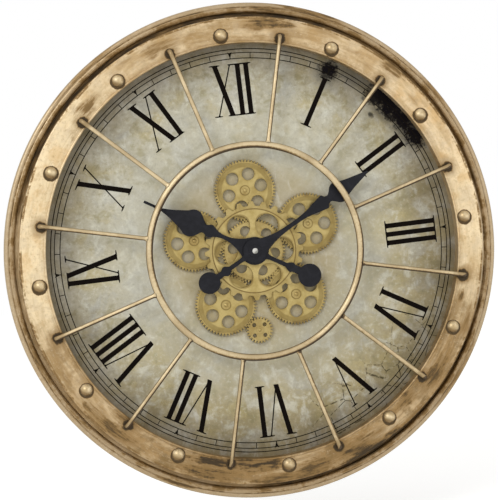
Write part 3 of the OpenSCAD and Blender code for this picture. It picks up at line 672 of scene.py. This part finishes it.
def black_plastic():
    """Moulded black ABS: a fine spark-eroded grain breaks up its shine."""
    mat = new_material("black_abs_plastic")
    point = face_point(mat)
    grain = add(mat, "TexNoise", point, 1 / 0.4545, 3, 0.55)
    haze = add(mat, "TexNoise", point, 1 / 20, 3, 0.55)
    colour = add(mat, BLEND, add(mat, EASE, haze, 0.3, 0.7), rgb("1B1B1D"), rgb("262628"))
    surface(mat, Base_Color=colour, Roughness=add(mat, EASE, haze, 0.3, 0.7, 0.44, 0.56),
            Normal=add(mat, "Bump", Height=grain, Distance=0.03 * MM, Strength=0.5))
    return mat


def rubber_black():
    """Matt black rubber gasket."""
    mat = new_material("black_rubber")
    grain = add(mat, "TexNoise", face_point(mat), 1 / 0.8333, 4, 0.55)
    surface(mat, Base_Color=add(mat, BLEND, grain, rgb("161616"), rgb("242423")), Roughness=0.8,
            Normal=add(mat, "Bump", Height=grain, Distance=0.04 * MM, Strength=0.5))
    return mat


def cell_sleeve():
    """Plain glossy shrink sleeve on the dry cells, bare steel at both ends."""
    mat = new_material("cell_sleeve")
    point = face_point(mat)
    grain = add(mat, "TexNoise", point, 1 / 1.111, 3, 0.55)
    sleeve = add(mat, BLEND, grain, rgb("2F5A46"), rgb("3A6A53"))
    across = add(mat, "Math:ABSOLUTE", add(mat, "SeparateXYZ", point))
    ends = add(mat, EASE, across, 24.0, 24.4)
    surface(mat, Base_Color=add(mat, BLEND, ends, sleeve, rgb("B9BAB8")), Metallic=ends,
            Roughness=add(mat, EASE, grain, 0.3, 0.7, 0.3, 0.4))
    return mat


# ------------------------------------------------------------------ mesh helpers

def to_mesh(bm, name):
    """Turns a bmesh into a mesh and lets the bmesh go."""
    mesh = bpy.data.meshes.new(name)
    bm.to_mesh(mesh)
    bm.free()
    return mesh


def add_object(name, data):
    """Puts a new object into the scene."""
    new = bpy.data.objects.new(name, data)
    bpy.context.scene.collection.objects.link(new)
    return new


def finish_mesh(name, bm, body, nodes, mat, sharp=30):
    """Turns a face-on mesh into a finished piece that rides on a body."""
    bmesh.ops.remove_doubles(bm, verts=bm.verts, dist=1e-4)
    bmesh.ops.recalc_face_normals(bm, faces=bm.faces)
    bm.transform(FACE_TO_FRAME)
    return place(name, to_mesh(bm, name), body, nodes, mat, sharp)


def place(name, mesh, body, nodes, mat, sharp=30):
    """Gives a mesh its shading and material, sets it on its body and hides the CAD nodes it stands
    for.
    """
    mesh.polygons.foreach_set("use_smooth", [True] * len(mesh.polygons))
    mesh.set_sharp_from_angle(angle=math.radians(sharp))
    mesh.materials.clear()
    mesh.materials.append(mat)
    piece = add_object(name, mesh)
    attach(piece, body)
    if nodes:
        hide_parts(*nodes)
    return piece


def dress(node, body, mat, edge=0.15, merge=True):
    """A copy of a CAD node with merged faces and softly broken edges."""
    bm = bmesh.new()
    bm.from_mesh(frame["nodes"][node].data)
    bmesh.ops.remove_doubles(bm, verts=bm.verts, dist=1e-6)
    if merge:
        bmesh.ops.dissolve_limit(bm, angle_limit=math.radians(0.3), verts=bm.verts,
                                 edges=bm.edges)
    mesh = to_mesh(bm, node + "_finished")
    # the CAD's stored normals no longer fit once faces are merged
    old_normals = mesh.attributes.get("custom_normal")
    if old_normals:
        mesh.attributes.remove(old_normals)
    piece = place(node + "_finished", mesh, body, [node], mat)
    if edge:
        soften = piece.modifiers.new("broken_edges", "BEVEL")
        soften.width = edge * MM
        soften.segments = 2
        soften.limit_method = "ANGLE"
        soften.angle_limit = math.radians(35)
        soften.use_clamp_overlap = True
        soften.harden_normals = True
    return piece


def lathe(section, steps, closed=True):
    """Spins a section of (radius, height) points about the dial axis."""
    bm = bmesh.new()
    points = [bm.verts.new((r, 0, d)) for r, d in section]
    edges = [bm.edges.new(pair) for pair in zip(points, points[1:])]
    if closed:
        edges.append(bm.edges.new((points[-1], points[0])))
    bmesh.ops.spin(bm, geom=points + edges, cent=(0, 0, 0), axis=(0, 0, 1),
                   angle=math.tau, steps=steps, use_merge=True)
    bmesh.ops.remove_doubles(bm, verts=bm.verts, dist=1e-4)
    bmesh.ops.recalc_face_normals(bm, faces=bm.faces)
    return bm


def arc(centre, radius, start, end, steps):
    """Points along an arc of a section: 0 degrees is outwards and 90 is off the wall."""
    turns = [math.radians(start + (end - start) * i / steps) for i in range(steps + 1)]
    return [(centre[0] + radius * math.cos(t), centre[1] + radius * math.sin(t))
            for t in turns]


def repeat_round(bm, count, first):
    """Turns the mesh to angle first, clockwise, and copies it count times round the axis."""
    step = Matrix.Rotation(-math.tau / count, 3, "Z")
    bmesh.ops.rotate(bm, matrix=Matrix.Rotation(-math.radians(first), 3, "Z"), verts=bm.verts)
    part = list(bm.verts) + list(bm.edges) + list(bm.faces)
    for _ in range(count - 1):
        part = bmesh.ops.duplicate(bm, geom=part)["geom"]
        moved = [g for g in part if isinstance(g, bmesh.types.BMVert)]
        bmesh.ops.rotate(bm, matrix=step, verts=moved)


# ------------------------------------------------------------------ case

def outer_rim(mat):
    """Rolled double bead, its band behind, and the floor of the groove."""
    bead, bead_r = (CASE_R - 3.8, 45.0), 3.8
    roll, roll_r = (CASE_R - 8.7, 48.0), 3.7
    sheet = 1.2
    inner, outer, rear, floor = CASE_R - 12.3, CASE_R - 1.4, 36.0, DIAL_FRONT - 1.8
    outside = [(outer, rear)]
    outside += arc(bead, bead_r, -50.8, 109.2, 22)
    outside += arc(roll, roll_r, 9.2, 166.6, 20)
    outside += [(inner, floor + 0.8), (inner - 0.8, floor)]
    outside += [(CASE_R - 18, floor), (CASE_R - 18, floor - sheet), (inner, floor - sheet)]
    inside = [(inner, rear), (inner + sheet, rear)]
    inside += arc(roll, roll_r - sheet, 166.6, 9.2, 10)
    inside += arc(bead, bead_r - sheet, 109.2, -50.8, 12)
    inside += [(outer - sheet, rear)]
    bm = lathe(outside + inside, ROUND)
    return finish_mesh("rim_bead", bm, "clock", ["outer_rim", "groove_floor"], mat, 40)


def crown(radius, drop=0.0):
    """Height of the flange's arched face, or of a line that runs drop below it."""
    rise = math.sqrt((CROWN_R - drop) ** 2 - (radius - CROWN_MIDDLE) ** 2)
    return CROWN_TOP - CROWN_R + rise


def rivet_flange(mat):
    """Crowned flange with its half-round lip, side walls, rivet seats and rod holes."""
    outer, inner, sheet = CASE_R - 18, 250.6, 1.2
    top = [280.5 - 27.0 * i / 18 for i in range(1, 19)]
    under = [252.6 + 26.4 * i / 12 for i in range(13)]
    section = [(outer, DIAL_FRONT - 3)]
    section += arc((outer - 1.5, 58.8), 1.5, 0, 85, 8)
    section += [(r, crown(r)) for r in top]
    section += arc((251.9, 60.5), 1.5, 9, 210, 16)
    section += [(inner, DIAL_FRONT), (inner + 5, DIAL_FRONT), (inner + 5, DIAL_FRONT + sheet)]
    section += [(inner + sheet, DIAL_FRONT + sheet), (inner + sheet, 59.2)]
    section += [(r, crown(r, sheet)) for r in under]
    section += [(outer - sheet, 58.0), (outer - sheet, DIAL_FRONT - 3)]
    bm = lathe(section, ROUND)
    piece = finish_mesh("flange_band", bm, "clock", ["rivet_flange", "flange_wall", "flange_edge"],
                        mat, 40)
    cut_holes(piece, [(RIVET_CIRCLE, RIVET_TURN, SEAT_R, SEAT_FLOOR),
                      (ROD_CIRCLE, SPOKE_TURN, ROD_HOLE_R, 55.0)])
    return piece


def cut_holes(piece, rows):
    """Cuts rows of twelve round holes: circle radius, first angle, hole radius, floor."""
    bm = bmesh.new()
    for circle, first, hole, floor in rows:
        row = bmesh.new()
        bmesh.ops.create_cone(row, cap_ends=True, segments=48, radius1=hole, radius2=hole,
                              depth=20, matrix=Matrix.Translation((0, circle, floor + 10)))
        repeat_round(row, HOURS, first)
        mesh = to_mesh(row, "holes")
        bm.from_mesh(mesh)
        bpy.data.meshes.remove(mesh)
    bm.transform(FACE_TO_FRAME)
    cutter = add_object("hole_cutter", to_mesh(bm, "hole_cutter"))
    cut = piece.modifiers.new("holes", "BOOLEAN")
    cut.object = cutter
    cut.operation = "DIFFERENCE"
    cut.solver = "EXACT"
    graph = bpy.context.evaluated_depsgraph_get()
    result = bpy.data.meshes.new_from_object(piece.evaluated_get(graph))
    piece.modifiers.clear()
    piece.data = result
    result.set_sharp_from_angle(angle=math.radians(40))
    bpy.data.objects.remove(cutter)


def rivets(mat):
    """Twelve domed rivets, each with a small flat foot in its seat."""
    section = [(0.01, 58.5), (4.0, 58.5), (4.0, 59.7), (2.4, 59.7), (2.4, SEAT_FLOOR),
               (RIVET_FOOT_R, SEAT_FLOOR), (RIVET_FOOT_R, 61.0)]
    section += arc((0, 57.7), 8.1, 24.0, 89.9, 12)
    bm = lathe(section, 40, closed=False)
    bmesh.ops.translate(bm, vec=(0, RIVET_CIRCLE, 0), verts=bm.verts)
    repeat_round(bm, HOURS, RIVET_TURN)
    return finish_mesh("domed_rivets", bm, "clock", ["flange_rivets"], mat, 40)


def ring(mat):
    """The round ring that the rods are brazed to."""
    section = arc((RING_R, ROD_TOP - ROD_R), ROD_R, 0, 360, 32)[:-1]
    bm = lathe(section, ROUND)
    return finish_mesh("cage_ring", bm, "clock", ["centre_ring"], mat)


def grow(bm, edges, vec, scale=1.0):
    """Extrudes a loop of edges by vec, scaled about its middle, and returns the new loop."""
    new = bmesh.ops.extrude_edge_only(bm, edges=edges)["geom"]
    verts = [g for g in new if isinstance(g, bmesh.types.BMVert)]
    bmesh.ops.translate(bm, vec=vec, verts=verts)
    middle = sum((v.co for v in verts), Vector()) / len(verts)
    bmesh.ops.scale(bm, vec=(scale, scale, scale), verts=verts,
                    space=Matrix.Translation(-middle))
    return [g for g in new if isinstance(g, bmesh.types.BMEdge)]


def cage_rods(mat):
    """Twelve rods brazed to the ring, each bent down into its hole in the flange."""
    rod, bend, foot, at_r = 2.6, 4.5, 57.0, ROD_CIRCLE
    axis = ROD_TOP - ROD_R
    bm = bmesh.new()
    start = bmesh.ops.create_circle(bm, cap_ends=True, segments=24, radius=rod,
                                    matrix=Matrix.Translation((0, at_r, foot)))
    edges = list({e for v in start["verts"] for e in v.link_edges})
    edges = grow(bm, edges, (0, 0, axis - bend - foot))
    verts = list({v for e in edges for v in e.verts})
    spun = bmesh.ops.spin(bm, geom=verts + edges, cent=(0, at_r - bend, axis - bend),
                          axis=(1, 0, 0), angle=math.pi / 2, steps=14)["geom_last"]
    edges = [g for g in spun if isinstance(g, bmesh.types.BMEdge)]
    edges = grow(bm, edges, (0, RING_R + ROD_R + 2.65 - at_r + bend, 0))
    edges = grow(bm, edges, (0, -1.3, 0), 1.12)
    edges = grow(bm, edges, (0, -1.2, 0), 1.22)
    grow(bm, edges, (0, -1.0, 0), 1.12)
    repeat_round(bm, HOURS, SPOKE_TURN)
    return finish_mesh("cage_rods", bm, "clock", ["spokes"], mat)


# ------------------------------------------------------------------ dial print

# each numeral: stems, thick strokes and thin strokes (outer end, inner end), then serifs at the
# outer and at the inner end; millimetres clockwise from the numeral's middle line
NUMERALS = {
    1: ((-0.5,), (), (), ((-7.5, 6.8),), ((-7.5, 6.8),)),
    2: ((-5.2, 6.2), (), (), ((-11.6, 12.4),), ((-11.6, 12.4),)),
    3: ((-9.5, 1, 11.3), (), (), ((-16, 17.4),), ((-16, 17.4),)),
    4: ((-16.3,), ((18.2, 3.4),), ((-7.3, 3.4),), ((-22.3, -3), (10.3, 23.5)), ((-22.5, -10),)),
    5: ((), ((-14.4, 0),), ((12.9, 0),), ((-21.3, -8.3), (9.5, 17.5)), ()),
    6: ((13,), ((-19.1, -7.7),), ((5.3, -7.7),), ((-26.6, -13.6), (0.8, 19.5)), ((6.5, 18.5),)),
    7: ((5.5, 15.8), ((-27.3, -12.5),), ((-2.3, -12.5),), ((-34, -21), (-6.8, 22)),
        ((0, 22.8),)),
    8: ((3.5, 14, 24.5), ((-27.4, -14.4),), ((-1.9, -14.4),), ((-34, -21), (-7, 31)),
        ((-3, 30),)),
    9: ((-12,), ((-2.7, 14),), ((17.9, -6.5),), ((-18.6, 1.2), (13.8, 22)),
        ((-18.2, -2.7), (8.7, 21.3))),
    10: ((), ((-9, 8),), ((12.5, -14.8),), ((-16.6, -3), (7.5, 16.4)),
         ((-18.7, -10.3), (2.3, 14.4))),
    11: ((14.7,), ((-15, 3.8),), ((7.2, -19.5),), ((-20, -7), (3.3, 21)),
         ((-23, -15), (-2.6, 19.3))),
    12: ((7.5, 17.8), ((-20.5, -4.3),), ((-1.5, -21.6),), ((-27, -14), (-4.3, 24)),
         ((-26.6, -17), (-10, 23.6))),
}
TOP_V, FOOT_V = 227.2, 164.5        # radii between which the numerals stand
THICK, THIN = 5.9, 1.5              # widths of their strokes
POINTED = (4, 5, 6, 7, 8)           # hours whose V comes to a point at its foot
TRACK_RINGS = ((244.4, 1.1), (239.9, 1.0), (233.2, 1.1))    # radius and width
PRINT = DIAL_FRONT + 0.05


def flat(bm, outline, turn=0.0, lift=0.0):
    """Lays a flat outline on the dial, turned clockwise by turn degrees."""
    spin = Matrix.Rotation(-math.radians(turn), 3, "Z")
    bm.faces.new([bm.verts.new(spin @ Vector((u, v, PRINT + lift))) for u, v in outline])


def stroke(outer, inner, width, feet=(True, True)):
    """Outline of a straight stroke between the serif lines, with bracketed ends."""
    slope = (outer - inner) / (TOP_V - FOOT_V)
    half = width / 2 * math.hypot(1, slope)
    flare = ((0.0, 1.7), (0.9, 0.75), (2.6, 0.0))
    left, right = [], []
    for v, extra in ([(FOOT_V + d, e * feet[1]) for d, e in flare]
                     + [(TOP_V - d, e * feet[0]) for d, e in reversed(flare)]):
        middle = inner + slope * (v - FOOT_V)
        left.append((middle - half - extra, v))
        right.append((middle + half + extra, v))
    return right + left[::-1]


def serif(start, end, v, thick=1.6):
    """Outline of a serif bar that tapers a little at its tips."""
    return [(start, v - 0.45), (start + 3, v - thick / 2), (end - 3, v - thick / 2),
            (end, v - 0.45), (end, v + 0.45), (end - 3, v + thick / 2),
            (start + 3, v + thick / 2), (start, v + 0.45)]


def numerals(mat):
    """The twelve numerals; strokes that cross lie a hundredth of a millimetre apart."""
    bm = bmesh.new()
    for hour, (stems, thick, thin, tops, feet) in NUMERALS.items():
        turn = 30 * hour
        ends = (True, hour not in POINTED)
        for u in stems:
            flat(bm, stroke(u, u, THICK), turn)
        for outer, inner in thick:
            flat(bm, stroke(outer, inner, THICK, ends), turn, 0.01)
        for outer, inner in thin:
            flat(bm, stroke(outer, inner, THIN, ends), turn, 0.02)
        for start, end in tops:
            flat(bm, serif(start, end, TOP_V - 0.8), turn, 0.03)
        for start, end in feet:
            flat(bm, serif(start, end, FOOT_V + 0.8), turn, 0.03)
    return finish_mesh("roman_numerals", bm, "clock", [], mat)


def track(mat):
    """Minute track: fine rings, a tick at each minute and a dart at each hour."""
    bm = bmesh.new()
    for radius, width in TRACK_RINGS:
        for i in range(180):
            a, b = 2 * i, 2 * i + 2
            corners = [(radius - width / 2, a), (radius + width / 2, a),
                       (radius + width / 2, b), (radius - width / 2, b)]
            flat(bm, [(r * math.sin(math.radians(t)), r * math.cos(math.radians(t)))
                      for r, t in corners])
    for minute in range(60):
        half = 0.45 if minute % 5 else 0.55
        flat(bm, [(-half, 233), (half, 233), (half, 240), (-half, 240)], 6 * minute, 0.01)
    for hour in range(HOURS):
        flat(bm, [(-2.7, 241.4), (0, 233.6), (2.7, 241.4), (0, 239.9)], 30 * hour, 0.02)
    return finish_mesh("minute_track", bm, "clock", [], mat)


# ------------------------------------------------------------------ all pieces

def build_case():
    """The painted case, its cage, and the dial with its print."""
    gold = antique_gold()
    cage = cage_gold()
    outer_rim(gold)
    rivet_flange(gold)
    rivets(rivet_gold())
    ring(cage)
    cage_rods(cage)
    bronze = drum_bronze()
    dress("case_drum", "clock", bronze, 0.2)
    dress("back_ring", "clock", bronze, 0.2)
    dress("dial_board", "clock", dial_plaster(), 0, merge=False)
    numerals(dial_ink("numeral_ink", 0.98, "0E0906"))
    track(dial_ink("track_ink", 0.9, "14100B"))


def build_fixings():
    """Zinc-plated clips, screws, nuts and the hanger."""
    zinc = zinc_steel()
    for node in ("spoke_clips", "dial_clips", "clip_screws", "hanger_plate", "hanger_rivets",
                 "post_nuts", "gear_box_screws", "movement_contacts", "gear_box_contacts",
                 "bush_washer"):
        dress(node, "clock", zinc, 0.12)


def build_works():
    """The movement and gear box behind the dial, and their arbors."""
    plastic = black_plastic()
    brass = works_brass()
    sleeve = cell_sleeve()
    dress("movement_case", "clock", plastic, 0.5)
    dress("gear_box", "clock", plastic, 0.5)
    dress("set_knob", "knob", plastic, 0.2)
    dress("movement_gasket", "clock", rubber_black(), 0.1)
    dress("movement_cell", "clock", sleeve, 0.3)
    dress("gear_box_cells", "clock", sleeve, 0.3)
    for node in ("threaded_bush", "bush_nut", "sun_sleeve"):
        dress(node, "clock", brass, 0.15)
    dress("hour_tube", "hour_work", brass, 0.1)
    dress("minute_arbor", "minute_work", brass, 0.1)


def build_hands():
    """Both hands and their cap."""
    lacquer = hand_black()
    dress("hour_hand", "hour_work", lacquer, 0.2)
    dress("minute_hand", "minute_work", lacquer, 0.2)
    dress("hand_cap", "minute_work", cap_pearl(), 0.1)


def build_gears():
    """The gear train in the middle of the dial."""
    disc = part_gold("gear_gold_wash")
    teeth = tooth_olive()
    cover = cover_gold()
    dress("sun_rim", "sun_wheel", teeth, 0.12, merge=False)
    dress("sun_disc", "sun_wheel", disc, 0.15)
    dress("cover_wheel", "sun_wheel", cover, 0.18)
    dress("cover_screws", "sun_wheel", disc, 0.1)
    for k in range(1, 6):
        body = f"satellite_{k}"
        dress(f"satellite_rim_{k}", body, teeth, 0.12, merge=False)
        middle = face(centre_of(f"satellite_rim_{k}"))
        wheel = gear_gold(f"satellite_{k}_gold_wash", middle, HOLE_TURNS[k - 1])
        dress(f"satellite_disc_{k}", body, wheel, 0.15)
    dress("gear_posts", "clock", disc, 0.1)
    dress("post_caps", "clock", disc, 0.1)
    dress("drive_pinion", "pinion", disc, 0.12)
    dress("pinion_cap", "pinion", disc, 0.1)
    dress("drive_shaft", "pinion", zinc_steel(), 0.1)


build_case()
build_fixings()
build_works()
build_hands()
build_gears()


# ------------------------------------------------------------------ stage, light, camera

def floor():
    """Plain pale floor under the clock; white to the camera and to gloss, shaded by the clock."""
    bm = bmesh.new()
    bmesh.ops.create_grid(bm, x_segments=1, y_segments=1, size=6)
    bmesh.ops.translate(bm, vec=(0, 0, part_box("outer_rim")[0].z - 0.06), verts=bm.verts)
    mesh = to_mesh(bm, "floor")
    mat = new_material("floor_pale")
    surface(mat, Base_Color=rgb("F4F4F2"), Roughness=0.9, Specular_IOR_Level=0.0,
            Emission_Color=(1, 1, 1, 1),
            Emission_Strength=add(mat, TIMES, seen_directly(mat), 0.45))
    mesh.materials.append(mat)
    add_object("floor", mesh)


def world(level):
    """Soft even light; white to the camera, and in metal and glass."""
    sky = bpy.data.worlds.new("studio")
    sky.use_nodes = True
    bpy.context.scene.world = sky
    shader = sky.node_tree.nodes["Background"]
    feed(sky, shader.inputs["Color"], (1, 1, 1, 1))
    feed(sky, shader.inputs["Strength"], add(sky, EASE, seen_directly(sky), 0, 1, level, 1.0))


def lamp(name, place_at, size, watts):
    """Square softbox aimed at the middle of the dial."""
    data = bpy.data.lights.new(name, "AREA")
    data.size = size
    data.energy = watts
    lamp_object = add_object(name, data)
    aim = Vector((0, 0, AXIS)) - Vector(place_at)
    lamp_object.matrix_world = (Matrix.Translation(place_at)
                                @ aim.to_track_quat("-Z", "Y").to_matrix().to_4x4())


def camera():
    """A little from the left and above, and rolled slightly."""
    yaw, pitch, roll = math.radians(-7.77), math.radians(2.06), math.radians(6.89)
    away = Vector((math.sin(yaw) * math.cos(pitch), -math.cos(yaw) * math.cos(pitch),
                   math.sin(pitch)))
    right = Vector((math.cos(yaw), math.sin(yaw), 0))
    up = away.cross(right)
    turn_right = right * math.cos(roll) - up * math.sin(roll)
    turn_up = right * math.sin(roll) + up * math.cos(roll)
    aim, distance = Vector((0, -0.047, AXIS)), 2.361
    data = bpy.data.cameras.new("camera")
    data.sensor_width = 36
    data.lens = 140.4
    data.shift_x = -4.4 / 500
    data.shift_y = 0.7 / 500
    cam = add_object("camera", data)
    axes = Matrix((turn_right, turn_up, away)).transposed().to_4x4()
    cam.matrix_world = Matrix.Translation(aim + away * distance) @ axes
    bpy.context.scene.camera = cam


floor()
world(0.62)
lamp("key", (-1.7, -2.6, 1.5), 1.6, 48)
lamp("fill", (1.9, -2.2, 0.2), 1.6, 10)
camera()
bpy.context.scene.view_settings.view_transform = "Standard"
